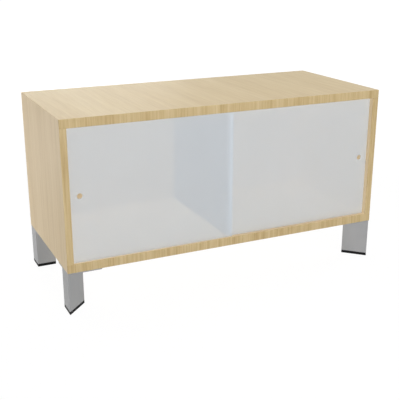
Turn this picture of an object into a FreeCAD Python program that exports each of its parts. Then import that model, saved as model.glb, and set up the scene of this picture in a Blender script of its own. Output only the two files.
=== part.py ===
import FreeCAD, Part
import os
import re
import Sketcher

# Low sliding door cabinet: a boarded case with a centre divider, two satin sheet doors that run
# past each other in twin channel tracks, and four triangular tube legs.
# Row frame: X to the right, Y to the back, Z up, origin on the floor under the middle of the case.

doc = FreeCAD.newDocument("SlidingDoorCabinet")
sheet = doc.addObject("Spreadsheet::Sheet", "Sizes")

# ---------------------------------------------------------------- driving dimensions, in mm

SIZES = {
    # case
    "case_width": (1050, "case, outside, with its edging"),
    "case_depth": (450, "case, outside, with its edging"),
    "case_height": (446, "case, from underside to top face"),
    "top_thick": (26, "top panel"),
    "bottom_thick": (26, "bottom panel"),
    "side_thick": (20, "left and right side panels"),
    "divider_thick": (20, "centre divider"),
    "divider_setback": (22, "case front to the divider's front edge"),
    "edging_thick": (2, "edging strips on the boards"),
    "edging_round": (1.2, "rounding along the edging's outer edges"),
    "back_thick": (8, "back panel"),
    "back_recess": (12, "case back to the back panel"),
    "back_groove": (8, "depth of the back panel's grooves"),
    "back_clear": (0.3, "room around the back panel in its grooves"),
    # sliding doors and their tracks
    "door_thick": (4, "door sheet"),
    "door_overlap": (8, "how far the closed doors pass each other"),
    "door_end_gap": (1.5, "closed door to side panel"),
    "door_side_clear": (0.4, "door sheet to channel wall, each side"),
    "door_edge_chamfer": (0.5, "broken edges of the door sheet"),
    "door_top_engage": (4, "how far the sheet stands up into the upper track"),
    "finger_hole_dia": (16, "finger hole"),
    "finger_hole_inset": (28, "finger hole's centre to the door's outer edge"),
    "track_inset": (7, "case front to the tracks"),
    "track_wall": (1.1, "front and rear wall of a track"),
    "track_web": (1.2, "wall between the two channels"),
    "track_floor": (1.2, "floor of the channels"),
    "lower_track_height": (5.4, "lower track"),
    "upper_track_height": (10, "upper track, deep enough to lift a door out"),
    "glide_thick": (1.2, "glide pad under a door"),
    "glide_length": (60, "glide pad"),
    "glide_inset": (40, "door edge to glide pad"),
    "glide_side_clear": (0.7, "glide pad to channel wall, each side"),
    "running_gap": (0.2, "glide pad to channel floor"),
    "bumper_thick": (1.2, "end bumper"),
    "bumper_height": (24, "end bumper"),
    # legs
    "leg_height": (130, "floor to the case's underside"),
    "leg_inset": (0.3, "case side to leg"),
    "leg_side": (63, "short sides of the triangular tube"),
    "tube_wall": (1.2, "leg tube"),
    "tube_bend": (0.3, "inside radius of the tube's corners"),
    "cap_rim": (10, "part of the foot cap that shows"),
    "cap_insert": (16, "part of the foot cap inside the tube"),
    "cap_clear": (0.15, "cap insert to tube"),
    "cap_chamfer": (0.8, "broken edge of the foot cap at the floor"),
    "plate_size": (102, "square mounting plate, flush with the tube's outer sides"),
    "plate_thick": (3, "mounting plate"),
    "plate_corner": (3, "rounding of the plate's corners"),
    "plate_hole_edge": (12, "plate edge to its screw holes"),
    "plate_hole_clear": (0.5, "leg screw to its hole in the plate, all round"),
    "screw_dia": (4, "leg screw"),
    "screw_length": (16, "leg screw, under its head"),
    "screw_head_dia": (8.5, "leg screw"),
    "screw_head_height": (2.6, "leg screw"),
    # joints between boards
    "joint_inset": (65, "case front or back to a row of cam joints"),
    "joint_dowel_step": (32, "cam joint to the dowel beside it"),
    "cam_dia": (15, "cam lock"),
    "cam_length": (13.5, "cam lock"),
    "cam_setback": (34, "board's end to the cam's centre"),
    "cam_clear": (0.1, "round fittings to their holes"),
    "cam_slot_width": (1.6, "screwdriver slot"),
    "cam_slot_depth": (2, "screwdriver slot"),
    "cover_lap": (1, "cover cap beyond its cam, all round"),
    "cover_thick": (1, "cover cap over a cam"),
    "bolt_thread_dia": (5, "cam bolt, in the top or bottom panel"),
    "bolt_thread_length": (11, "cam bolt, in the top or bottom panel"),
    "bolt_shank_dia": (6, "cam bolt, in the upright board"),
    "bolt_clear": (0.8, "cam bolt to its channel, all round"),
    "dowel_dia": (8, "joint dowel"),
    "dowel_length": (30, "joint dowel"),
    "dowel_in_panel": (11, "part of the dowel in the top or bottom panel"),
    "dowel_end_clear": (0.5, "dowel's end to the bottom of its hole"),
}

# ---------------------------------------------------------------- sizes that follow from them

DERIVED = {
    "half_width": "case_width / 2",
    "half_depth": "case_depth / 2",
    "inner_width": "case_width - 2 * side_thick",
    "inner_height": "case_height - top_thick - bottom_thick",
    "floor_level": "leg_height + bottom_thick",
    "ceiling_level": "leg_height + case_height - top_thick",
    "core_front": "half_depth - edging_thick",
    "core_side": "half_width - edging_thick",
    "divider_front": "half_depth - divider_setback",
    "back_inner": "half_depth - back_recess - back_thick",
    "back_outer": "half_depth - back_recess",
    "joint_row": "half_depth - joint_inset",
    "dowel_row": "joint_row - joint_dowel_step",
    "channel_width": "door_thick + 2 * door_side_clear",
    "channel_pitch": "channel_width + track_web",
    "track_width": "2 * track_wall + channel_width + channel_pitch",
    "track_front": "track_inset - half_depth",
    "front_channel": "track_front + track_wall",
    "door_width": "inner_width / 2 - door_end_gap + door_overlap / 2",
    "glide_bottom": "floor_level - lower_track_height + track_floor + running_gap",
    "door_bottom": "glide_bottom + glide_thick",
    "door_height": "ceiling_level + door_top_engage - door_bottom",
    "glide_width": "channel_width - 2 * glide_side_clear",
    "tube_top": "leg_height - plate_thick",
    "tube_round": "tube_bend + tube_wall",
    "plate_hole_dia": "screw_dia + 2 * plate_hole_clear",
    "cover_dia": "cam_dia + 2 * cover_lap",
    "bolt_channel_dia": "bolt_shank_dia + 2 * bolt_clear",
    "bolt_shank_length": "cam_setback + bolt_shank_dia / 2",
    "dowel_in_upright": "dowel_length - dowel_in_panel",
}

for row, (alias, (value, note)) in enumerate(SIZES.items(), start=1):
    sheet.set(f"A{row}", alias)
    sheet.set(f"B{row}", str(value))
    sheet.setAlias(f"B{row}", alias)
    sheet.set(f"C{row}", note)
doc.recompute()

X_AXIS = FreeCAD.Vector(1, 0, 0)
Y_AXIS = FreeCAD.Vector(0, 1, 0)
Z_AXIS = FreeCAD.Vector(0, 0, 1)
AXES = {"x": X_AXIS, "y": Y_AXIS, "z": Z_AXIS}

# Left and right are -1 and +1 along X; front and rear are -1 and +1 along Y.
SIDES = {"left": -1, "right": 1}
ENDS = {"front": -1, "rear": 1}

CLOSE = 1e-6  # what counts as parallel to an axis, or as lying in a face

pieces = []


def sized(text):
    """The sheet's expression for a sum written with the names of SIZES and DERIVED."""

    def expand(match):
        word = match.group(0)
        if word in SIZES:
            return f"Sizes.{word}"
        if word in DERIVED:
            return f"({sized(DERIVED[word])})"
        return word

    return re.sub(r"[a-z_]+", expand, str(text))


def bind(thing, **sums):
    for name, text in sums.items():
        thing.setExpression(name.replace("__", "."), sized(text))


def place(thing, x=0, y=0, z=0):
    bind(thing, Placement__Base__x=x, Placement__Base__y=y, Placement__Base__z=z)
    return thing


def piece(thing, label):
    """Registers a finished sub-part under the name of its file."""
    thing.Label = label
    pieces.append(thing)
    return thing


# ---------------------------------------------------------------- sketches and features


def new_body(name):
    return doc.addObject("PartDesign::Body", name)


def new_sketch(body, role, offset=0):
    """A sketch on one of the body's own origin planes, moved along its normal by offset."""
    plane = next(item for item in body.Origin.OriginFeatures if item.Role == role)
    sketch = body.newObject("Sketcher::SketchObject", f"{body.Name}_sketch")
    sketch.AttachmentSupport = [(plane, "")]
    sketch.MapMode = "FlatFace"
    bind(sketch, AttachmentOffset__Base__z=offset)
    return sketch


def fix_point(sketch, geometry, vertex, x, y):
    """Ties a sketch point to two sums, measured from the sketch's origin."""
    for kind, text in (("DistanceX", x), ("DistanceY", y)):
        index = sketch.addConstraint(Sketcher.Constraint(kind, -1, 1, geometry, vertex, 1.0))
        sketch.setExpression(f"Constraints[{index}]", sized(text))


def draw_polygon(sketch, corners):
    first = sketch.GeometryCount
    count = len(corners)
    for number in range(count):
        start = FreeCAD.Vector(number, number * number, 0)
        end = FreeCAD.Vector(number + 1, (number + 1) * (number + 1), 0)
        sketch.addGeometry(Part.LineSegment(start, end), False)
    for number, (x, y) in enumerate(corners):
        follower = first + (number - 1) % count
        sketch.addConstraint(Sketcher.Constraint("Coincident", follower, 2, first + number, 1))
        fix_point(sketch, first + number, 1, x, y)


def draw_rectangle(sketch, x0, y0, x1, y1):
    draw_polygon(sketch, [(x0, y0), (x1, y0), (x1, y1), (x0, y1)])


def draw_circle(sketch, x, y, diameter):
    number = sketch.GeometryCount
    sketch.addGeometry(Part.Circle(FreeCAD.Vector(number, 0, 0), Z_AXIS, 1), False)
    fix_point(sketch, number, 3, x, y)
    index = sketch.addConstraint(Sketcher.Constraint("Diameter", number, 2.0))
    sketch.setExpression(f"Constraints[{index}]", sized(diameter))


def add_pad(body, sketch, length, backwards=False):
    """Raises the sketch along its normal, or against it if backwards."""
    pad = body.newObject("PartDesign::Pad", f"{body.Name}_pad")
    pad.Profile = sketch
    pad.Reversed = backwards
    bind(pad, Length=length)
    doc.recompute()
    return pad


def add_pocket(body, sketch, depth, backwards=False):
    """Cuts from the sketch against its normal, or along it if backwards, and checks that it cut."""
    before = body.Shape.Volume
    pocket = body.newObject("PartDesign::Pocket", f"{body.Name}_pocket")
    pocket.Profile = sketch
    pocket.Reversed = backwards
    bind(pocket, Length=depth)
    doc.recompute()
    if not body.Shape.Volume < before:
        raise ValueError(f"{body.Name}: a pocket removed nothing")
    return pocket


def in_face(edge, shape, face):
    """Whether the edge lies in an outer face of the shape, such as '-y'."""
    axis = AXES[face[1]]
    places = [vertex.Point.dot(axis) for vertex in shape.Vertexes]
    outermost = min(places) if face[0] == "-" else max(places)
    return all(abs(vertex.Point.dot(axis) - outermost) < CLOSE for vertex in edge.Vertexes)


def edges_along(shape, directions, faces=()):
    """Names of straight edges along any of the axes that lie in every one of the outer faces."""
    names = []
    for number, edge in enumerate(shape.Edges, start=1):
        if not isinstance(edge.Curve, Part.Line):
            continue
        tangent = edge.Curve.Direction
        if not any(tangent.cross(AXES[axis]).Length < CLOSE for axis in directions):
            continue
        if all(in_face(edge, shape, face) for face in faces):
            names.append(f"Edge{number}")
    return names


def edges_around(shape, face):
    """Names of all the edges of an outer face, straight or not."""
    edges = enumerate(shape.Edges, start=1)
    return [f"Edge{number}" for number, edge in edges if in_face(edge, shape, face)]


def round_edges(shape):
    """Names of the edges that are full circles."""
    edges = enumerate(shape.Edges, start=1)
    return [f"Edge{number}" for number, edge in edges if isinstance(edge.Curve, Part.Circle)]


def add_dressing(body, kind, base, names, size):
    """A fillet or chamfer on named edges of the feature before it."""
    dressing = body.newObject(f"PartDesign::{kind}", f"{body.Name}_{kind.lower()}")
    dressing.Base = (base, names)
    if kind == "Fillet":
        bind(dressing, Radius=size)
    else:
        bind(dressing, Size=size)
    doc.recompute()
    return dressing


# ---------------------------------------------------------------- solids without a body


def new_box(name, x, y, z, length, width, height):
    box = doc.addObject("Part::Box", name)
    bind(box, Length=length, Width=width, Height=height)
    return place(box, x, y, z)


def new_cylinder(name, x, y, z, diameter, height, along=None):
    """A cylinder that starts at x, y, z and runs along Z, or along another direction."""
    cylinder = doc.addObject("Part::Cylinder", name)
    if along is not None:
        cylinder.Placement.Rotation = FreeCAD.Rotation(Z_AXIS, along)
    bind(cylinder, Radius=f"({diameter}) / 2", Height=height)
    return place(cylinder, x, y, z)


def fuse(name, shapes):
    union = doc.addObject("Part::MultiFuse", name)
    union.Shapes = shapes
    return union


def cut(name, base, tools):
    difference = doc.addObject("Part::Cut", name)
    difference.Base = base
    difference.Tool = tools[0] if len(tools) == 1 else fuse(f"{name}_tools", tools)
    return difference


def group(label, members):
    """Identical loose pieces that share one node."""
    compound = doc.addObject("Part::Compound", label)
    compound.Links = members
    return piece(compound, label)


# ---------------------------------------------------------------- upright boards

# Each upright has one face that carries its cam locks: where that face is, which way the board
# lies from it, and the board's thickness, front and back.
UPRIGHTS = {
    "left_side_panel": ("-inner_width / 2", -1, "side_thick", "-core_front", "half_depth"),
    "centre_divider": (
        "divider_thick / 2", -1, "divider_thick", "edging_thick - divider_front", "back_inner"
    ),
    "right_side_panel": ("inner_width / 2", 1, "side_thick", "-core_front", "half_depth"),
}


def make_upright(label, face, into, thick, front, back):
    """A vertical board, drawn from its cam face at x = 0 and from its lower end at z = 0."""
    body = new_body(label)
    outline = new_sketch(body, "YZ_Plane")
    draw_rectangle(outline, front, "0", back, "inner_height")
    add_pad(body, outline, thick, backwards=into < 0)

    if label != "centre_divider":
        groove = new_sketch(body, "YZ_Plane")
        groove_front = "back_inner - back_clear"
        draw_rectangle(groove, groove_front, "0", "back_outer + back_clear", "inner_height")
        add_pocket(body, groove, "back_groove", backwards=into > 0)

    cams = new_sketch(body, "YZ_Plane")
    for end in ENDS.values():
        for height in ("cam_setback", "inner_height - cam_setback"):
            draw_circle(cams, f"{end} * joint_row", height, "cam_dia + 2 * cam_clear")
    add_pocket(body, cams, "cam_length + 2 * cam_clear", backwards=into > 0)

    middle = f"{into} * {thick} / 2"
    dowel_depth = "dowel_in_upright + dowel_end_clear"
    for offset, upwards in (("0", True), ("inner_height", False)):
        channels = new_sketch(body, "XY_Plane", offset)
        dowel_holes = new_sketch(body, "XY_Plane", offset)
        for end in ENDS.values():
            draw_circle(channels, middle, f"{end} * joint_row", "bolt_channel_dia")
            draw_circle(dowel_holes, middle, f"{end} * dowel_row", "dowel_dia + 2 * cam_clear")
        add_pocket(body, channels, "cam_setback", backwards=upwards)
        add_pocket(body, dowel_holes, dowel_depth, backwards=upwards)
    piece(place(body, face, 0, "floor_level"), label)


for name, description in UPRIGHTS.items():
    make_upright(name, *description)

# ---------------------------------------------------------------- top and bottom panels

# Leg screws, counted inwards along X and Y from a mounting plate's outer corner: three at the
# corners that the tube leaves free and one halfway along the front or rear edge.
PLATE_HOLES = [
    ("plate_size - plate_hole_edge", "plate_hole_edge"),
    ("plate_size - plate_hole_edge", "plate_size - plate_hole_edge"),
    ("plate_hole_edge", "plate_size - plate_hole_edge"),
    ("plate_size / 2", "plate_hole_edge"),
]


def make_level_board(label, thick, track_height, upwards):
    """The top or bottom panel, drawn from its inner face at z = 0, away from the inside."""
    body = new_body(label)
    outline = new_sketch(body, "XY_Plane")
    draw_rectangle(outline, "-core_side", "-core_front", "core_side", "core_front")
    add_pad(body, outline, thick, backwards=not upwards)

    track_bed = new_sketch(body, "XY_Plane")
    draw_rectangle(
        track_bed, "-inner_width / 2", "track_front", "inner_width / 2", "track_front + track_width"
    )
    add_pocket(body, track_bed, track_height, backwards=upwards)

    groove = new_sketch(body, "XY_Plane")
    reach = "inner_width / 2 + back_groove"
    groove_front = "back_inner - back_clear"
    draw_rectangle(groove, f"-({reach})", groove_front, reach, "back_outer + back_clear")
    add_pocket(body, groove, "back_groove", backwards=upwards)

    bolt_holes = new_sketch(body, "XY_Plane")
    dowel_holes = new_sketch(body, "XY_Plane")
    for face, into, upright_thick, *_ in UPRIGHTS.values():
        middle = f"{face} + {into} * {upright_thick} / 2"
        for end in ENDS.values():
            draw_circle(bolt_holes, middle, f"{end} * joint_row", "bolt_thread_dia + 2 * cam_clear")
            draw_circle(dowel_holes, middle, f"{end} * dowel_row", "dowel_dia + 2 * cam_clear")
    add_pocket(body, bolt_holes, "bolt_thread_length + dowel_end_clear", backwards=upwards)
    add_pocket(body, dowel_holes, "dowel_in_panel + dowel_end_clear", backwards=upwards)
    return body


top_panel = make_level_board("top_panel", "top_thick", "upper_track_height", True)
piece(place(top_panel, 0, 0, "ceiling_level"), "top_panel")

bottom_panel = make_level_board("bottom_panel", "bottom_thick", "lower_track_height", False)
pilots = new_sketch(bottom_panel, "XY_Plane", "-bottom_thick")
for side in SIDES.values():
    for end in ENDS.values():
        for inward_x, inward_y in PLATE_HOLES:
            draw_circle(
                pilots,
                f"{side} * (half_width - leg_inset - ({inward_x}))",
                f"{end} * (half_depth - leg_inset - ({inward_y}))",
                "screw_dia + 2 * cam_clear",
            )
add_pocket(bottom_panel, pilots, "screw_length - plate_thick + dowel_end_clear", backwards=True)
piece(place(bottom_panel, 0, 0, "floor_level"), "bottom_panel")

# ---------------------------------------------------------------- back panel

back_panel = new_body("back_panel")
back_outline = new_sketch(back_panel, "XZ_Plane")
back_reach = "(inner_width / 2 + back_groove - back_clear)"
back_low = "-(back_groove - back_clear)"
back_high = "inner_height + back_groove - back_clear"
draw_rectangle(back_outline, f"-{back_reach}", back_low, back_reach, back_high)
add_pad(back_panel, back_outline, "back_thick", backwards=True)
piece(place(back_panel, 0, "back_inner", "floor_level"), "back_panel")

# ---------------------------------------------------------------- edging strips


def make_edging(label, x0, y0, x1, y1, height, level, rounded, *faces):
    """A strip on a board's edge, rounded along the named axes where its outer faces meet."""
    body = new_body(label)
    outline = new_sketch(body, "XY_Plane")
    draw_rectangle(outline, x0, y0, x1, y1)
    strip = add_pad(body, outline, height)
    names = edges_along(strip.Shape, rounded, faces)
    add_dressing(body, "Fillet", strip, names, "edging_round")
    piece(place(body, 0, 0, level), label)


# The last value is the board's outward face. Its end strips are flush with the side panels, so
# only their corners at that face are rounded.
LEVEL_BOARDS = {
    "top": ("top_thick", "ceiling_level", "+z"),
    "bottom": ("bottom_thick", "leg_height", "-z"),
}
for board, (thick, level, outward) in LEVEL_BOARDS.items():
    make_edging(
        f"{board}_front_edging",
        "-half_width", "-half_depth", "half_width", "-core_front",
        thick, level, "xz", "-y",
    )
    make_edging(
        f"{board}_rear_edging",
        "-half_width", "core_front", "half_width", "half_depth",
        thick, level, "xz", "+y",
    )
    make_edging(
        f"{board}_left_edging",
        "-half_width", "-core_front", "-core_side", "core_front",
        thick, level, "y", "-x", outward,
    )
    make_edging(
        f"{board}_right_edging",
        "core_side", "-core_front", "half_width", "core_front",
        thick, level, "y", "+x", outward,
    )

make_edging(
    "left_side_edging",
    "-half_width", "-half_depth", "side_thick - half_width", "-core_front",
    "inner_height", "floor_level", "z", "-y",
)
make_edging(
    "right_side_edging",
    "half_width - side_thick", "-half_depth", "half_width", "-core_front",
    "inner_height", "floor_level", "z", "-y",
)
make_edging(
    "divider_edging",
    "-divider_thick / 2", "-divider_front", "divider_thick / 2", "edging_thick - divider_front",
    "inner_height", "floor_level", "z", "-y",
)

# ---------------------------------------------------------------- tracks

# The left door runs in the front channel and the right door in the rear one.
DOOR_CHANNELS = {"left": 0, "right": 1}


def channel_start(channel):
    return f"(front_channel + {channel} * channel_pitch)"


def make_track(label, height, level, upwards):
    """A twin channel profile, let in flush with the panel, its channels open at z = 0."""
    body = new_body(label)
    outline = new_sketch(body, "XY_Plane")
    draw_rectangle(
        outline, "-inner_width / 2", "track_front", "inner_width / 2", "track_front + track_width"
    )
    add_pad(body, outline, height, backwards=not upwards)
    channels = new_sketch(body, "XY_Plane")
    for channel in DOOR_CHANNELS.values():
        start = channel_start(channel)
        end = f"{start} + channel_width"
        draw_rectangle(channels, "-inner_width / 2", start, "inner_width / 2", end)
    add_pocket(body, channels, f"{height} - track_floor", backwards=upwards)
    piece(place(body, 0, 0, level), label)


make_track("lower_track", "lower_track_height", "floor_level", False)
make_track("upper_track", "upper_track_height", "ceiling_level", True)

# ---------------------------------------------------------------- doors

def make_door(side_name):
    """A sheet door, drawn from its outer edge at x = 0 inwards, with its glides under it."""
    side = SIDES[side_name]
    channel = channel_start(DOOR_CHANNELS[side_name])
    label = f"{side_name}_door"
    body = new_body(label)
    outline = new_sketch(body, "XZ_Plane")
    draw_rectangle(outline, "0", "0", f"{-side} * door_width", "door_height")
    slab = add_pad(body, outline, "door_thick", backwards=True)
    add_dressing(body, "Chamfer", slab, edges_along(slab.Shape, "z"), "door_edge_chamfer")
    hole = new_sketch(body, "XZ_Plane")
    draw_circle(hole, f"{-side} * finger_hole_inset", "door_height / 2", "finger_hole_dia")
    drilled = add_pocket(body, hole, "door_thick")
    add_dressing(body, "Chamfer", drilled, round_edges(drilled.Shape), "door_edge_chamfer")
    outer_edge = f"{side} * (inner_width / 2 - door_end_gap)"
    piece(place(body, outer_edge, f"{channel} + door_side_clear", "door_bottom"), label)

    glides = []
    inner_inset = "door_width - glide_inset - glide_length"
    for name, inward in (("outer", "glide_inset"), ("inner", inner_inset)):
        start = f"{outer_edge} - {side} * ({inward} + glide_length / 2) - glide_length / 2"
        glides.append(
            new_box(
                f"{label}_{name}_glide",
                start, f"{channel} + glide_side_clear", "glide_bottom",
                "glide_length", "glide_width", "glide_thick",
            )
        )
    group(f"{label}_glides", glides)


for door_side in SIDES:
    make_door(door_side)

# Each side panel has one bumper for the door that closes against it and one for the door that
# opens as far as it.
for side_name, side in SIDES.items():
    inner_face = f"{side} * inner_width / 2"
    bumpers = []
    for channel in DOOR_CHANNELS.values():
        bumpers.append(
            new_box(
                f"{side_name}_bumper_{channel}",
                f"{inner_face} - {(side + 1) // 2} * bumper_thick",
                f"{channel_start(channel)} + glide_side_clear",
                "door_bottom + door_height / 2 - bumper_height / 2",
                "bumper_thick", "glide_width", "bumper_height",
            )
        )
    group(f"{side_name}_side_bumpers", bumpers)

# ---------------------------------------------------------------- legs


def make_prism(name, side, end, offset, radius, height):
    """An upright bar of the tube's outline, offset inwards, with rounded corners.

    The right angle is at 0, 0 and the short sides run along X and Y.
    """
    body = new_body(name)
    outline = new_sketch(body, "XY_Plane")
    near = f"({offset})"
    tip = f"(leg_side - {near} * (1 + sqrt(2)))"
    draw_polygon(
        outline,
        [
            (f"{-side} * {near}", f"{end} * {near}"),
            (f"{-side} * {tip}", f"{end} * {near}"),
            (f"{-side} * {near}", f"{end} * {tip}"),
        ],
    )
    bar = add_pad(body, outline, height)
    add_dressing(body, "Fillet", bar, edges_along(bar.Shape, "z"), radius)
    return body


def make_leg(end_name, side_name):
    """A tube with its plate, foot cap and screws; the tube's right angle faces inwards."""
    side = SIDES[side_name]
    end = ENDS[end_name]
    label = f"{end_name}_{side_name}_leg"
    corner_x = f"{side} * (half_width - leg_inset)"
    corner_y = f"{end} * (half_depth - leg_inset - leg_side)"

    tube_length = "tube_top - cap_rim"
    skin = make_prism(f"{label}_skin", side, end, "0", "tube_round", tube_length)
    bore = make_prism(f"{label}_bore", side, end, "tube_wall", "tube_bend", tube_length)
    tube = cut(label, skin, [bore])
    piece(place(tube, corner_x, corner_y, "cap_rim"), label)

    rim = make_prism(f"{label}_rim", side, end, "0", "tube_round", "cap_rim")
    foot_edges = edges_around(rim.Shape, "-z")
    add_dressing(rim, "Chamfer", rim.Tip, foot_edges, "cap_chamfer")
    insert = make_prism(f"{label}_insert", side, end, "tube_wall + cap_clear", "tube_bend", "cap_insert")
    cap = fuse(f"{label}_cap", [rim, place(insert, 0, 0, "cap_rim")])
    piece(place(cap, corner_x, corner_y, 0), f"{label}_cap")

    plate = new_body(f"{label}_plate")
    plate_outline = new_sketch(plate, "XY_Plane")
    draw_rectangle(plate_outline, "0", "0", f"{-side} * plate_size", f"{-end} * plate_size")
    blank = add_pad(plate, plate_outline, "plate_thick")
    add_dressing(plate, "Fillet", blank, edges_along(blank.Shape, "z"), "plate_corner")
    plate_holes = new_sketch(plate, "XY_Plane")
    for inward_x, inward_y in PLATE_HOLES:
        draw_circle(
            plate_holes, f"{-side} * ({inward_x})", f"{-end} * ({inward_y})", "plate_hole_dia"
        )
    add_pocket(plate, plate_holes, "plate_thick", backwards=True)
    plate_y = f"{end} * (half_depth - leg_inset)"
    piece(place(plate, corner_x, plate_y, "tube_top"), f"{label}_plate")

    screws = []
    for number, (inward_x, inward_y) in enumerate(PLATE_HOLES, start=1):
        name = f"{label}_screw_{number}"
        x = f"{corner_x} - {side} * ({inward_x})"
        y = f"{plate_y} - {end} * ({inward_y})"
        head_level = "tube_top - screw_head_height"
        head = new_cylinder(f"{name}_head", x, y, head_level, "screw_head_dia", "screw_head_height")
        shank = new_cylinder(f"{name}_shank", x, y, "tube_top", "screw_dia", "screw_length")
        screws.append(fuse(name, [head, shank]))
    group(f"{label}_screws", screws)


for end_name in ENDS:
    for side_name in SIDES:
        make_leg(end_name, side_name)

# ---------------------------------------------------------------- cam joints

cams = []
bolts = []
covers = []
dowels = []
for name, (face, into, thick, *_) in UPRIGHTS.items():
    middle = f"{face} + {into} * {thick} / 2"
    outwards = -into * X_AXIS
    for end_name, end in ENDS.items():
        for foot, upwards in (("floor_level", 1), ("ceiling_level", -1)):
            tag = f"{name}_{end_name}_{'lower' if upwards > 0 else 'upper'}"
            row = f"{end} * joint_row"
            centre = f"{foot} + {upwards} * cam_setback"

            # The cam lies just under the board's face; the bolt's head is in its cross bore.
            cam_inner = f"{face} + {into} * (cam_length + cam_clear)"
            barrel = new_cylinder(
                f"{tag}_barrel", cam_inner, row, centre, "cam_dia", "cam_length", outwards
            )
            bore = new_cylinder(
                f"{tag}_cross_bore",
                middle, row, f"{centre} - {upwards} * cam_dia",
                "bolt_channel_dia", "cam_dia + bolt_channel_dia / 2",
                Z_AXIS * upwards,
            )
            slot = new_box(
                f"{tag}_slot",
                f"{face} + {into} * cam_clear - (1 - {into}) / 2 * cam_slot_depth",
                f"{row} - cam_dia / 2", f"{centre} - cam_slot_width / 2",
                "cam_slot_depth", "cam_dia", "cam_slot_width",
            )
            cams.append(cut(f"{tag}_cam", barrel, [bore, slot]))

            thread = new_cylinder(
                f"{tag}_thread", middle, row, foot, "bolt_thread_dia", "bolt_thread_length",
                Z_AXIS * -upwards,
            )
            shank = new_cylinder(
                f"{tag}_shank", middle, row, foot, "bolt_shank_dia", "bolt_shank_length",
                Z_AXIS * upwards,
            )
            bolts.append(fuse(f"{tag}_bolt", [thread, shank]))

            covers.append(
                new_cylinder(f"{tag}_cover", face, row, centre, "cover_dia", "cover_thick", outwards)
            )
            dowels.append(
                new_cylinder(
                    f"{tag}_dowel",
                    middle, f"{end} * dowel_row", f"{foot} - {upwards} * dowel_in_panel",
                    "dowel_dia", "dowel_length", Z_AXIS * upwards,
                )
            )

group("cam_locks", cams)
group("cam_bolts", bolts)
group("cam_covers", covers)
group("joint_dowels", dowels)

# ---------------------------------------------------------------- check and write

doc.recompute()
for item in doc.Objects:
    if "Invalid" in item.State or "Error" in item.State:
        raise ValueError(f"{item.Label} did not recompute: {item.State}")

os.makedirs("parts", exist_ok=True)
for item in pieces:
    if item.Shape.isNull() or not item.Shape.isValid():
        raise ValueError(f"{item.Label} has no valid shape")
    item.Shape.exportStep(f"parts/{item.Label}.step")
print(len(pieces), "pieces written")
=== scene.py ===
import itertools
import math

import bmesh
import bpy
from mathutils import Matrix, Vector


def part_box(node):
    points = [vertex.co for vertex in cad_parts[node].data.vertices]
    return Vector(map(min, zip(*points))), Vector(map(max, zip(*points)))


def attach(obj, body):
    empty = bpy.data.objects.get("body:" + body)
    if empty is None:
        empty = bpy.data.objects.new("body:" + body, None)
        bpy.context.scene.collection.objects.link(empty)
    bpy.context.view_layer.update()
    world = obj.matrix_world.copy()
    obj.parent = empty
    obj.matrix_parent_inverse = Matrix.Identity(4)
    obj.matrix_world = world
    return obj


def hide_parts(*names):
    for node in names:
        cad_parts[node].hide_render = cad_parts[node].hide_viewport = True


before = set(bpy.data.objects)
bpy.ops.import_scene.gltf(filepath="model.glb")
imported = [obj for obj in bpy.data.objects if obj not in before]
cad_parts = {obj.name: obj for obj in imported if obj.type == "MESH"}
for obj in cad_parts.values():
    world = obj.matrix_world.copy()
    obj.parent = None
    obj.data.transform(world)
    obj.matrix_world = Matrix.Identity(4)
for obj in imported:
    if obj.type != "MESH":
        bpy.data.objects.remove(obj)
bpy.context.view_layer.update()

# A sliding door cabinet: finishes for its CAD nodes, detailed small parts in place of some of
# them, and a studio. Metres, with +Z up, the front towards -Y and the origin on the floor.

MM = 0.001
SIDES = ("left", "right")
LEGS = [f"{end}_{side}_leg" for end in ("front", "rear") for side in SIDES]

# ---------------------------------------------------------------- camera

CAMERA_PLACE = (-1.0114, -2.1394, 1.0022)
CAMERA_TILT = math.radians(71.474)  # from straight down
CAMERA_TURN = math.radians(-25.1925)  # from looking along +Y
FIELD_OF_VIEW = math.radians(30)
FARTHEST_SEEN = 200

camera = bpy.data.objects.new("camera", bpy.data.cameras.new("camera"))
bpy.context.scene.collection.objects.link(camera)
camera.location = CAMERA_PLACE
camera.rotation_euler = (CAMERA_TILT, 0, CAMERA_TURN)
camera.data.sensor_fit = "HORIZONTAL"
camera.data.angle = FIELD_OF_VIEW
camera.data.clip_end = FARTHEST_SEEN
bpy.context.scene.camera = camera

# ---------------------------------------------------------------- shader building

USUAL_NOISE = (0.3, 0.7)  # where most of a noise's values lie


def linear(red, green, blue):
    """A screen colour of 0 to 255, as Blender's linear light."""

    def channel(value):
        value /= 255
        return value / 12.92 if value <= 0.04045 else ((value + 0.055) / 1.055) ** 2.4

    return (channel(red), channel(green), channel(blue), 1)


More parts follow.
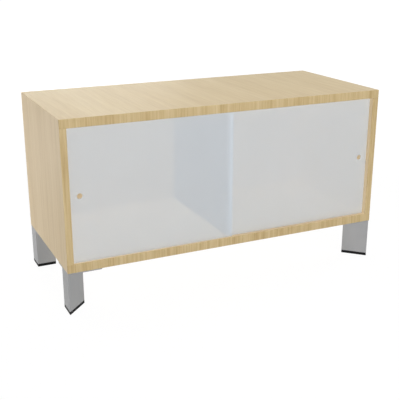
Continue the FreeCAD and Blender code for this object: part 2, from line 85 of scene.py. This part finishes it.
class Shader:
    """A node tree under construction. Inputs take plain values or other nodes' sockets."""

    def __init__(self, owner, output_kind):
        self.owner = owner
        owner.use_nodes = True
        self.tree = owner.node_tree
        self.tree.nodes.clear()
        self.output = self.tree.nodes.new(output_kind)
        self.place = self.add("ShaderNodeTexCoord").outputs["Object"]

    def add(self, kind, inputs=None, **settings):
        node = self.tree.nodes.new(kind)
        for name, value in settings.items():
            setattr(node, name, value)
        for name, value in (inputs or {}).items():
            if isinstance(value, bpy.types.NodeSocket):
                self.tree.links.new(value, node.inputs[name])
            else:
                node.inputs[name].default_value = value
        return node

    def calculate(self, operation, first, second):
        return self.add("ShaderNodeMath", {0: first, 1: second}, operation=operation).outputs[0]

    def noise(self, frequency, seed, detail=2.0, roughness=0.5, distortion=0.0):
        """A noise from about 0.3 to 0.7, with so many features to the metre along each axis."""
        shift = Vector((1.7, 3.1, 5.3)) * seed
        stretch = {"Vector": self.place, "Location": shift, "Scale": frequency}
        inputs = {
            "Vector": self.add("ShaderNodeMapping", stretch).outputs[0],
            "Scale": 1.0,
            "Detail": detail,
            "Roughness": roughness,
            "Distortion": distortion,
        }
        return self.add("ShaderNodeTexNoise", inputs).outputs["Fac"]

    def remap(self, value, low, high, to_low=0.0, to_high=1.0):
        inputs = {"Value": value, 1: low, 2: high, 3: to_low, 4: to_high}
        return self.add("ShaderNodeMapRange", inputs).outputs[0]

    def spread(self, noise, low, high):
        """A noise, stretched to run from low to high."""
        return self.remap(noise, *USUAL_NOISE, low, high)

    def weighted(self, *layers):
        """The sum of layers around 0.5; each is a value that averages 0.5, and its weight."""
        total = 0.5
        for value, weight in layers:
            centred = self.calculate("SUBTRACT", value, 0.5)
            total = self.calculate("ADD", self.calculate("MULTIPLY", centred, weight), total)
        return total

    def ramp(self, value, *stops):
        """A colour ramp; each stop is a place from 0 to 1 and a screen colour."""
        node = self.add("ShaderNodeValToRGB", {"Fac": value})
        elements = node.color_ramp.elements
        while len(elements) < len(stops):
            elements.new(1)
        for element, (place, colour) in zip(elements, stops):
            element.position = place
            element.color = linear(*colour)
        return node.outputs["Color"]

    def shaded(self, colour, factor):
        """A screen colour, made lighter or darker by a factor."""
        inputs = {0: linear(*colour)[:3], "Scale": factor}
        return self.add("ShaderNodeVectorMath", inputs, operation="SCALE").outputs[0]

    def bump(self, height, depth, strength=1.0):
        inputs = {"Height": height, "Distance": depth, "Strength": strength}
        return self.add("ShaderNodeBump", inputs).outputs["Normal"]

    def principled(self, inputs):
        return self.add("ShaderNodeBsdfPrincipled", inputs).outputs[0]

    def mix(self, share, first, second):
        return self.add("ShaderNodeMixShader", {0: share, 1: first, 2: second}).outputs[0]

    def finish(self, surface):
        self.tree.links.new(surface, self.output.inputs["Surface"])
        return self.owner


def material(name):
    return Shader(bpy.data.materials.new(name), "ShaderNodeOutputMaterial")


# ---------------------------------------------------------------- wood

# Screen colours of the decor, from its darkest streaks to its lightest.
MAPLE = [(193, 171, 135), (207, 187, 154), (216, 199, 169)]
# A darker, more saturated copy for the top: painted shade that takes back the extra lamp light and
# sheen falling on the top.
TOP_MAPLE_PAINTED_SHADE = [(186, 163, 121), (199, 179, 140), (208, 191, 155)]
# A paler copy for the bottom and the right side: painted light on the inside of the case.
MAPLE_PAINTED_LIGHT = [(205, 186, 153), (217, 200, 168), (225, 211, 182)]
# A darker, duller copy for the back: painted shade on the inside of the case.
MAPLE_PAINTED_SHADE = [(187, 170, 140), (200, 184, 157), (208, 195, 171)]
HONEY = [(175, 149, 104), (196, 174, 131), (209, 190, 150)]
BEECH = [(180, 142, 102), (199, 163, 122), (212, 180, 141)]
TONE_STOPS = (0.2, 0.5, 0.8)

# How many times as long as wide a band or a streak is.
BAND_LENGTH = 20
STREAK_LENGTH = 36

# Fine lines and flecks in a metre, across the grain and along it. Only the strongest flecks,
# between these two limits and above, are pores.
LINES = (480, 9)
FLECKS = (1500, 75)
PORE_LIMITS = (0.64, 0.74)

# How much each layer changes the tone, and how deep lines and pores are.
BAND_WEIGHT = 0.45
STREAK_WEIGHT = 0.75
LINE_WEIGHT = 0.6
PORE_WEIGHT = 0.12
GRAIN_DEPTH = 0.05 * MM
GRAIN_STRENGTH = 0.35

SATIN = (0.48, 0.56)  # roughness
BOARD_GLOSS = 0.1
TOP_GLOSS = 0.5


def wood(name, grain, tones, seed, contrast=1.0, figure=14, streak=110, gloss=BOARD_GLOSS):
    """Satin wood: broad bands, streaks, fine lines and short pores, all along one axis.

    figure and streak say how many bands and streaks there are in a metre across the grain.
    """

    def frequency(across, along):
        return tuple(along if axis == grain else across for axis in "xyz")

    shader = material(name)
    bands = shader.noise(frequency(figure, figure / BAND_LENGTH), seed, distortion=0.3)
    streak_frequency = frequency(streak, streak / STREAK_LENGTH)
    streaks = shader.noise(streak_frequency, seed + 1, detail=3, roughness=0.6)
    lines = shader.noise(frequency(*LINES), seed + 2, roughness=0.6)
    pores = shader.remap(shader.noise(frequency(*FLECKS), seed + 3, detail=1), *PORE_LIMITS)
    tone = shader.weighted(
        (bands, BAND_WEIGHT * contrast),
        (streaks, STREAK_WEIGHT * contrast),
        (lines, LINE_WEIGHT * contrast),
    )
    pore_shade = shader.calculate("MULTIPLY", pores, PORE_WEIGHT * contrast)
    tone = shader.calculate("SUBTRACT", tone, pore_shade)
    relief = shader.calculate("SUBTRACT", lines, pores)
    surface = shader.principled(
        {
            "Base Color": shader.ramp(tone, *zip(TONE_STOPS, tones)),
            "Roughness": shader.spread(streaks, *SATIN),
            "Specular IOR Level": gloss,
            "Normal": shader.bump(relief, GRAIN_DEPTH, GRAIN_STRENGTH),
        }
    )
    return shader.finish(surface)


# ---------------------------------------------------------------- other materials


def even(frequency):
    """The same number of features to the metre along every axis."""
    return (frequency, frequency, frequency)


def grey_decor_painted_shade(name):
    """A grey decor whose darkness is partly painted shade on the divider: a soft cloud, a fine
    fleck and the press plate's faint texture.
    """
    shader = material(name)
    cloud = shader.noise(even(9), 21, detail=3)
    fleck = shader.noise(even(1300), 22, detail=1)
    tone = shader.weighted((cloud, 0.6), (fleck, 0.5))
    surface = shader.principled(
        {
            "Base Color": shader.ramp(tone, (0.25, (164, 160, 155)), (0.75, (174, 170, 165))),
            "Roughness": shader.spread(fleck, *SATIN),
            "Specular IOR Level": 0.2,
            "Normal": shader.bump(fleck, 0.03 * MM, 0.5),
        }
    )
    return shader.finish(surface)


def moulded(name, colour, roughness, gloss=0.5):
    """Plastic or rubber with a faint mottle and the fine unevenness of its mould."""
    shader = material(name)
    mottle = shader.noise(even(60), 2, detail=3)
    skin = shader.noise(even(900), 4)
    surface = shader.principled(
        {
            "Base Color": shader.shaded(colour, shader.spread(mottle, 0.96, 1.04)),
            "Roughness": shader.spread(mottle, roughness - 0.04, roughness + 0.04),
            "Specular IOR Level": gloss,
            "Normal": shader.bump(skin, 0.02 * MM),
        }
    )
    return shader.finish(surface)


def silver_paint(name):
    """Silver grey powder coat: a fine even grit, a slight cloudiness, satin."""
    shader = material(name)
    cloud = shader.noise((18, 18, 7), 5, detail=3)
    grit = shader.noise(even(2200), 6)
    surface = shader.principled(
        {
            "Base Color": shader.ramp(cloud, (0.3, (150, 151, 152)), (0.7, (157, 157, 158))),
            "Metallic": 0.1,
            "Roughness": shader.spread(grit, 0.46, 0.56),
            "Specular IOR Level": 0.35,
            "Normal": shader.bump(grit, 0.03 * MM),
        }
    )
    return shader.finish(surface)


def bright_metal(name, colour, roughness):
    """Plated or cast small parts: cloudy reflections and fine scratches."""
    shader = material(name)
    cloud = shader.noise(even(300), 7, detail=3)
    scratches = shader.noise((4000, 4000, 300), 8)
    surface = shader.principled(
        {
            "Base Color": shader.shaded(colour, shader.spread(cloud, 0.88, 1.06)),
            "Metallic": 1.0,
            "Roughness": shader.spread(cloud, roughness - 0.06, roughness + 0.08),
            "Normal": shader.bump(scratches, 0.01 * MM),
        }
    )
    return shader.finish(surface)


# A door's two faces each hide this share of what is behind them from the eye. Light goes
# through the sheet more freely, as it does through opal acrylic, so the inside isn't dark.
FACE_OPACITY = 0.5
LIGHT_OPACITY = 0.06


def satin_sheet(name):
    """Satin opal acrylic with a slight haze."""
    shader = material(name)
    haze = shader.noise(even(5), 9, detail=3)
    skin = shader.noise(even(700), 10)
    finish = {
        "Base Color": shader.ramp(haze, (0.3, (200, 208, 216)), (0.7, (202, 210, 218))),
        "Roughness": shader.spread(haze, 0.46, 0.54),
        "Normal": shader.bump(skin, 0.01 * MM),
    }
    seen = shader.principled({**finish, "Alpha": FACE_OPACITY})
    clear = shader.add("ShaderNodeBsdfTransparent").outputs[0]
    lit = shader.mix(LIGHT_OPACITY, clear, shader.principled(finish))
    from_camera = shader.add("ShaderNodeLightPath").outputs["Is Camera Ray"]
    return shader.finish(shader.mix(from_camera, lit, seen))


# ---------------------------------------------------------------- finishes of the CAD nodes


def dress(node, finish):
    for material_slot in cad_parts[node].material_slots:
        material_slot.material = finish


# The decor's streaks run front to back on the level boards and upright on the rest, edging
# included. Each board has a cut of its own, and some have a tone of painted light or shade: the
# top a darker one that takes back the extra light and sheen on it, the back a darker one for the
# shade inside the case, and the bottom and right side a paler one for painted light inside.
# Edging on the left or right end of a level board takes the cut of the side panel that it lines
# up with, and edging on its back takes its own.
BOARDS = {
    "top_panel": ("y", TOP_MAPLE_PAINTED_SHADE, TOP_GLOSS),
    "bottom_panel": ("y", MAPLE_PAINTED_LIGHT, BOARD_GLOSS),
    "left_side_panel": ("z", MAPLE, BOARD_GLOSS),
    "right_side_panel": ("z", MAPLE_PAINTED_LIGHT, BOARD_GLOSS),
    "back_panel": ("z", MAPLE_PAINTED_SHADE, BOARD_GLOSS),
}
FRONT_EDGING = [
    "top_front_edging",
    "bottom_front_edging",
    "left_side_edging",
    "right_side_edging",
]
SEED_STEP = 7  # a wood takes four seeds in a row
FIRST_BOARD = 1
FIRST_EDGING = 11
BEECH_SEED = 120

for number, (node, (grain, tones, gloss)) in enumerate(BOARDS.items(), start=FIRST_BOARD):
    dress(node, wood(f"maple_{node}", grain, tones, number * SEED_STEP, gloss=gloss))

for number, node in enumerate(FRONT_EDGING, start=FIRST_EDGING):
    honey = wood(
        f"honey_{node}", "z", HONEY, number * SEED_STEP, contrast=1.1, figure=40, streak=170
    )
    dress(node, honey)

for board in ("top", "bottom"):
    for end in ("rear", "left", "right"):
        node = f"{board}_{end}_edging"
        board_beside = f"{end}_side_panel" if end in SIDES else f"{board}_panel"
        number = FIRST_BOARD + list(BOARDS).index(board_beside)
        dress(node, wood(f"maple_{node}", "z", BOARDS[board_beside][1], number * SEED_STEP))

# The divider's grey is partly its own colour and partly painted shade on its faces inside the case.
grey_painted_shade = grey_decor_painted_shade("grey_painted_shade")
dress("centre_divider", grey_painted_shade)
dress("divider_edging", grey_painted_shade)
dress("joint_dowels", wood("beech", "z", BEECH, BEECH_SEED))

track_plastic = moulded("track_plastic", (206, 188, 158), roughness=0.42)
for node in ("upper_track", "lower_track"):
    dress(node, track_plastic)

door_sheet = satin_sheet("satin_sheet")
glide_plastic = moulded("glide_plastic", (232, 232, 226), roughness=0.35)
bumper_rubber = moulded("bumper_rubber", (203, 184, 150), roughness=0.6, gloss=0.3)
for side in SIDES:
    dress(f"{side}_door", door_sheet)
    dress(f"{side}_door_glides", glide_plastic)
    dress(f"{side}_side_bumpers", bumper_rubber)

leg_paint = silver_paint("leg_paint")
cap_plastic = moulded("cap_plastic", (14, 14, 15), roughness=0.7, gloss=0.15)
screw_steel = bright_metal("screw_steel", (190, 192, 196), roughness=0.3)
for leg in LEGS:
    dress(leg, leg_paint)
    dress(f"{leg}_plate", leg_paint)
    dress(f"{leg}_cap", cap_plastic)
    dress(f"{leg}_screws", screw_steel)

cover_plastic = moulded("cover_plastic", (208, 191, 162), roughness=0.45)
dress("cam_locks", bright_metal("cam_zinc", (150, 150, 153), roughness=0.5))
dress("cam_bolts", screw_steel)
dress("cam_covers", cover_plastic)

# ---------------------------------------------------------------- making detail pieces

SAME_POINT = 0.001 * MM
CREASE_ANGLE = math.radians(38)  # a steeper edge stays sharp


def solids(node):
    """The boxes of a CAD node's separate solids, each as its lowest and highest corner."""
    mesh = bmesh.new()
    mesh.from_mesh(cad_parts[node].data)
    bmesh.ops.remove_doubles(mesh, verts=mesh.verts, dist=SAME_POINT)
    left_over = set(mesh.verts)
    boxes = []
    while left_over:
        solid = [left_over.pop()]
        for vert in solid:  # which grows as neighbours are found
            for edge in vert.link_edges:
                neighbour = edge.other_vert(vert)
                if neighbour in left_over:
                    left_over.remove(neighbour)
                    solid.append(neighbour)
        places = list(zip(*(vert.co for vert in solid)))
        boxes.append((Vector(map(min, places)), Vector(map(max, places))))
    mesh.free()
    return sorted(boxes, key=lambda box: tuple(round(value, 6) for value in box[0]))


def piece(name, skins, finish, body, slot, *stands_for):
    """An object of closed skins, each a list of rings that all have as many points."""
    mesh = bmesh.new()
    for rings in skins:
        rows = [[mesh.verts.new(point) for point in ring] for ring in rings]
        for row, following in zip(rows, rows[1:]):
            for i in range(len(row)):
                mesh.faces.new((row[i - 1], row[i], following[i], following[i - 1]))
        mesh.faces.new(rows[0])
        mesh.faces.new(rows[-1])
    bmesh.ops.recalc_face_normals(mesh, faces=mesh.faces)
    data = bpy.data.meshes.new(name)
    mesh.to_mesh(data)
    mesh.free()
    data.shade_smooth()
    data.set_sharp_from_angle(angle=CREASE_ANGLE)
    data.materials.append(finish)
    made = bpy.data.objects.new(name, data)
    bpy.context.scene.collection.objects.link(made)
    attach(made, body)
    if stands_for:
        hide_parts(*stands_for)


# ---------------------------------------------------------------- bumpers, glides and cover caps

# Profiles of small moulded parts: how far each ring lies inside the outline in mm, and its
# height as a share of the part's thickness.
PAD_CROWN = [(0, 0), (0, 0.35), (0.12, 0.6), (0.35, 0.8), (0.7, 0.94), (1.2, 1)]
COVER_DOME = [
    (0.3, 0),
    (0, 0.15),
    (0, 0.4),
    (0.3, 0.6),
    (1.3, 0.68),
    (1.5, 0.56),
    (1.75, 0.7),
    (3.5, 0.88),
    (6, 0.98),
    (8.2, 1),
]
PAD_POINTS = 32
COVER_POINTS = 48
NOTCH_POINTS = 3  # how many of a cover's points lie in its notch
NOTCH_DEPTH = 0.9  # mm
X_AXIS, Z_AXIS = 0, 2


def button(box, thin_axis, facing, profile, points, notch_points=0):
    """Rings of a round or stadium-shaped part that fills the box, with its face to one side.

    facing is 1 or -1 along the thin axis. The notch is where a fingernail lifts a cover.
    """
    low, high = box
    middle = (low + high) / 2
    half = (high - low) / 2
    flat_axes = [axis for axis in range(3) if axis != thin_axis]
    short_axis, long_axis = sorted(flat_axes, key=lambda axis: half[axis])
    straight = half[long_axis] - half[short_axis]
    rings = []
    for inset, height in profile:
        ring = []
        for i in range(points):
            angle = 2 * math.pi * (i + 0.5) / points
            notch = NOTCH_DEPTH if i < notch_points and height > 0 else 0
            radius = half[short_axis] - max(inset, notch) * MM
            point = middle.copy()
            point[long_axis] += radius * math.cos(angle) + math.copysign(straight, math.cos(angle))
            point[short_axis] += radius * math.sin(angle)
            point[thin_axis] += facing * half[thin_axis] * (2 * height - 1)
            ring.append(point)
        rings.append(ring)
    return rings


for side, facing in (("left", 1), ("right", -1)):
    node = f"{side}_side_bumpers"
    pads = [button(box, X_AXIS, facing, PAD_CROWN, PAD_POINTS) for box in solids(node)]
    piece(f"{side}_bumper_pads", pads, bumper_rubber, "case", "bumper_rubber", node)

    node = f"{side}_door_glides"
    pads = [button(box, Z_AXIS, -1, PAD_CROWN, PAD_POINTS) for box in solids(node)]
    piece(f"{side}_glide_pads", pads, glide_plastic, f"{side}_door", "glide_plastic", node)

right_panel_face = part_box("right_side_panel")[0][0]
domes = []
for box in solids("cam_covers"):
    facing = -1 if abs(box[1].x - right_panel_face) < MM else 1
    domes.append(button(box, X_AXIS, facing, COVER_DOME, COVER_POINTS, NOTCH_POINTS))
piece("cam_cover_domes", domes, cover_plastic, "case", "cover_plastic", "cam_covers")

# ---------------------------------------------------------------- screws

# Pan head wood screws, driven up from below. All their rings have the cross recess's 24 points,
# and begin where that does, three points before the X axis.
RING_POINTS = 24
POINTS_BEFORE_X = 3
RECESS_ARM = 2.3 * MM
RECESS_HALF = 0.5 * MM
RECESS_DEPTH = 1.7 * MM
SHANK_RADIUS = 2 * MM
THREAD_PITCH = 1.8 * MM
THREAD_DEPTH = 0.6 * MM
THREAD_STEPS = 8  # rings to the turn
POINT_LENGTH = 3.5 * MM
POINT_END = 0.1  # the point's last ring, as a share of the thread's radius
HEAD_TURN = 2.4  # radians from one head to the next, so that no two stop alike

# Rings of the recess: shares of its half width, its arm and its depth.
RECESS_RINGS = [(0.3, 0.2, 1), (0.7, 0.6, 0.85), (1, 1, 0)]
# Rings of the head: a share of its radius, and the distance from its face or from the plate.
CROWN_RINGS = [(0.68, 0), (0.84, 0.2 * MM), (0.95, 0.6 * MM), (1, 1.2 * MM)]
RIM_RINGS = [(1, 0.15 * MM), (0.97, 0)]


def circle(radius, height):
    ring = []
    for i in range(RING_POINTS):
        angle = 2 * math.pi * ((i - POINTS_BEFORE_X) / RING_POINTS)
        ring.append(Vector((radius * math.cos(angle), radius * math.sin(angle), height)))
    return ring


def cross(half, arm, height):
    """A cross with its four arms along X and Y, from the inner corner right of the X arm."""
    middle = (half + arm) / 2
    x_arm = [(half, -half), (middle, -half), (arm, -half), (arm, 0), (arm, half), (middle, half)]
    y_arm = [(-y, x) for x, y in x_arm]
    opposite = [(-x, -y) for x, y in x_arm + y_arm]
    return [Vector((x, y, height)) for x, y in x_arm + y_arm + opposite]


def thread(seat, tip):
    """Rings of the thread, from under the head up to the screw's point."""
    rings = []
    step = THREAD_PITCH / THREAD_STEPS
    for number in range(1, round((tip - seat) / step) + 1):
        height = min(seat + number * step, tip)
        taper = min(1, (tip - height) / POINT_LENGTH * (1 - POINT_END) + POINT_END)
        ring = []
        for i, point in enumerate(circle(1, 0)):
            wave = (number / THREAD_STEPS - i / RING_POINTS) % 1
            radius = SHANK_RADIUS - THREAD_DEPTH * abs(2 * wave - 1)
            ring.append(Vector((point.x * radius * taper, point.y * radius * taper, height)))
        rings.append(ring)
    return rings


def screw(box, seat, number):
    """Rings of one screw: down out of the recess, round the head, and up the shank."""
    low, high = box
    head = (high.x - low.x) / 2
    rings = []
    for width, length, depth in RECESS_RINGS:
        rings.append(cross(RECESS_HALF * width, RECESS_ARM * length, low.z + RECESS_DEPTH * depth))
    rings += [circle(head * share, low.z + height) for share, height in CROWN_RINGS]
    rings += [circle(head * share, seat - distance) for share, distance in RIM_RINGS]
    rings += [circle(SHANK_RADIUS - THREAD_DEPTH, seat), *thread(seat, high.z)]
    turn = HEAD_TURN * number
    cosine, sine = math.cos(turn), math.sin(turn)
    x, y = (low.x + high.x) / 2, (low.y + high.y) / 2
    return [
        [Vector((x + cosine * p.x - sine * p.y, y + sine * p.x + cosine * p.y, p.z)) for p in ring]
        for ring in rings
    ]


# ---------------------------------------------------------------- weld beads

# In the corner between a leg's tube and its plate: quarter rounds with ripples that run ahead
# in their middle.
BEAD_SIZE = 2.4 * MM
BEAD_BITE = 0.3 * MM  # into tube and plate
BEAD_STEP = 0.4 * MM
BEAD_POINTS = 7
BEAD_FADE = 3 * MM
BEAD_END = 0.35  # its size at either end, as a share of the full size
BEAD_INSET = 7 * MM  # from the tube's corners, where the plate ends
RIPPLE_PITCH = 1.6 * MM
RIPPLE_HEIGHT = 0.07
RIPPLE_LEAD = 0.5 * MM


def bead(start, end, outward):
    """Rings of a bead from start to end, both on the plate's underside."""
    length = (end - start).length
    along = (end - start).normalized()
    down = Vector((0, 0, -1))
    rings = []
    for number in range(round(length / BEAD_STEP) + 1):
        place = number * BEAD_STEP
        fade = min(1, BEAD_END + (1 - BEAD_END) * min(place, length - place) / BEAD_FADE)
        ripple = 1 + RIPPLE_HEIGHT * math.cos(2 * math.pi * place / RIPPLE_PITCH)
        size = BEAD_SIZE * fade * ripple
        corner = start + along * place
        ring = [corner - (outward + down) * BEAD_BITE, corner + outward * size - down * BEAD_BITE]
        for i in range(BEAD_POINTS):
            angle = math.pi / 2 * i / (BEAD_POINTS - 1)
            lead = along * (RIPPLE_LEAD * math.sin(2 * angle))
            ring.append(corner + lead + (outward * math.cos(angle) + down * math.sin(angle)) * size)
        ring.append(corner + down * size - outward * BEAD_BITE)
        rings.append(ring)
    return rings


def welds(leg, seat):
    """The beads along the two sides of a leg's tube that have plate beside them."""
    low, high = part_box(leg)
    x_sign = 1 if "right" in leg else -1
    y_sign = 1 if "rear" in leg else -1
    inner_x, outer_x = sorted((low[0], high[0]), key=abs)
    inner_y, outer_y = sorted((low[1], high[1]), key=abs)
    square_corner = Vector((outer_x, inner_y, seat))
    inner_tip = Vector((inner_x, inner_y, seat))
    outer_tip = Vector((outer_x, outer_y, seat))
    beads = []
    for start, outward in (
        (square_corner, Vector((0, -y_sign, 0))),
        (outer_tip, Vector((-x_sign, y_sign, 0)).normalized()),
    ):
        margin = (inner_tip - start).normalized() * BEAD_INSET
        beads.append(bead(start + margin, inner_tip - margin, outward))
    return beads


screw_numbers = itertools.count(1)
for leg in LEGS:
    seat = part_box(f"{leg}_plate")[0][2]
    piece(f"{leg}_welds", welds(leg, seat), leg_paint, "case", "leg_paint")
    node = f"{leg}_screws"
    screws = [screw(box, seat, next(screw_numbers)) for box in solids(node)]
    piece(f"{leg}_threaded_screws", screws, screw_steel, "case", "screw_steel", node)

# ---------------------------------------------------------------- floor and world

FLOOR_HALF = 40
FLOOR_LEVEL = -0.2 * MM  # just clear of the feet, so that no two faces lie in one plane
FLOOR_SHADE = 0.14  # how much of the floor's own shading the camera sees; the rest is plain white
FLOOR_WHITE = (1.06, 1.2)  # so that the floor, shading and all, reaches white near and far
NEAR_AND_FAR = (1.2, 5.0)
WORLD_LIGHT = 0.15


def white_when_seen(shader):
    """1 for rays that should meet plain white: from the camera, a mirror or clear glass."""
    path = shader.add("ShaderNodeLightPath").outputs
    seen = shader.calculate("MAXIMUM", path["Is Camera Ray"], path["Is Glossy Ray"])
    return shader.calculate("MAXIMUM", seen, path["Is Transmission Ray"])


def floor_material():
    shader = material("floor_white")
    drift = shader.noise(even(0.6), 11, detail=1)
    colour = shader.ramp(drift, (0.3, (214, 214, 214)), (0.7, (216, 216, 216)))
    own = shader.principled({"Base Color": colour, "Roughness": 0.9, "Specular IOR Level": 0.0})
    from_middle = shader.add("ShaderNodeVectorMath", {0: shader.place}, operation="LENGTH")
    strength = shader.remap(from_middle.outputs["Value"], *NEAR_AND_FAR, *FLOOR_WHITE)
    white = shader.add("ShaderNodeEmission", {"Strength": strength}).outputs[0]
    softened = shader.mix(FLOOR_SHADE, white, own)
    return shader.finish(shader.mix(white_when_seen(shader), own, softened))


def studio_world():
    shader = Shader(bpy.data.worlds.new("studio"), "ShaderNodeOutputWorld")
    strength = shader.calculate("MAXIMUM", WORLD_LIGHT, white_when_seen(shader))
    inputs = {"Color": (1, 1, 1, 1), "Strength": strength}
    return shader.finish(shader.add("ShaderNodeBackground", inputs).outputs[0])


floor_mesh = bpy.data.meshes.new("floor")
corners = [
    (x * FLOOR_HALF, y * FLOOR_HALF, FLOOR_LEVEL) for x, y in ((-1, -1), (1, -1), (1, 1), (-1, 1))
]
floor_mesh.from_pydata(corners, [], [(0, 1, 2, 3)])
floor = bpy.data.objects.new("floor", floor_mesh)
bpy.context.scene.collection.objects.link(floor)
floor_mesh.materials.append(floor_material())

bpy.context.scene.world = studio_world()

# ---------------------------------------------------------------- lamps


def lamp(name, place, target, width, height, power, shadow=True):
    """A soft rectangular lamp; its power is in watts."""
    light = bpy.data.lights.new(name, "AREA")
    light.use_shadow = shadow
    light.shape = "RECTANGLE"
    light.size = width
    light.size_y = height
    light.energy = power
    made = bpy.data.objects.new(name, light)
    made.location = place
    made.rotation_euler = (Vector(target) - Vector(place)).to_track_quat("-Z", "Y").to_euler()
    bpy.context.scene.collection.objects.link(made)


# The main lamps cast no shadow, so that light reaches the inside evenly. The front one does,
# and leaves the rear legs in the shade of the case.
lamp("key", (-0.4, -3.8, 3.2), (0, 0, 0.35), 2.4, 2.4, 66, shadow=False)
lamp("overhead", (-0.2, 0.2, 3.6), (0, 0, 0.5), 2.4, 2.4, 42, shadow=False)
lamp("left", (-7.4, -3.0, 2.9), (0, 0, 0.3), 3.6, 3.6, 224, shadow=False)
lamp("right", (1.8, -3.0, 1.6), (0, 0, 0.3), 1.6, 1.6, 18, shadow=False)
lamp("right_end", (4.2, 0.6, 1.6), (0.5, 0, 0.3), 1.8, 1.8, 40)
lamp("back", (-2.4, 4.0, 1.9), (0, 0.2, 0.3), 1.8, 1.8, 15)
lamp("rim", (0.0, 2.8, 1.15), (-0.3, 0, 0.5), 2.2, 0.7, 12)
lamp("back_low", (0.6, 3.6, 0.4), (0, 0.2, 0.35), 1.6, 0.3, 28, shadow=False)
lamp("right_low", (4.2, 0.4, 0.4), (0.5, 0, 0.35), 1.6, 0.3, 22, shadow=False)
lamp("front", (-0.2, -3.3, 1.1), (0.2, 0, 0.3), 0.3, 1.4, 17)
lamp("rear_left", (-1.25, 0.95, 0.22), (-0.52, 0.2, 0.07), 0.3, 0.3, 2.9)

# ---------------------------------------------------------------- output

bpy.context.scene.view_settings.view_transform = "Standard"
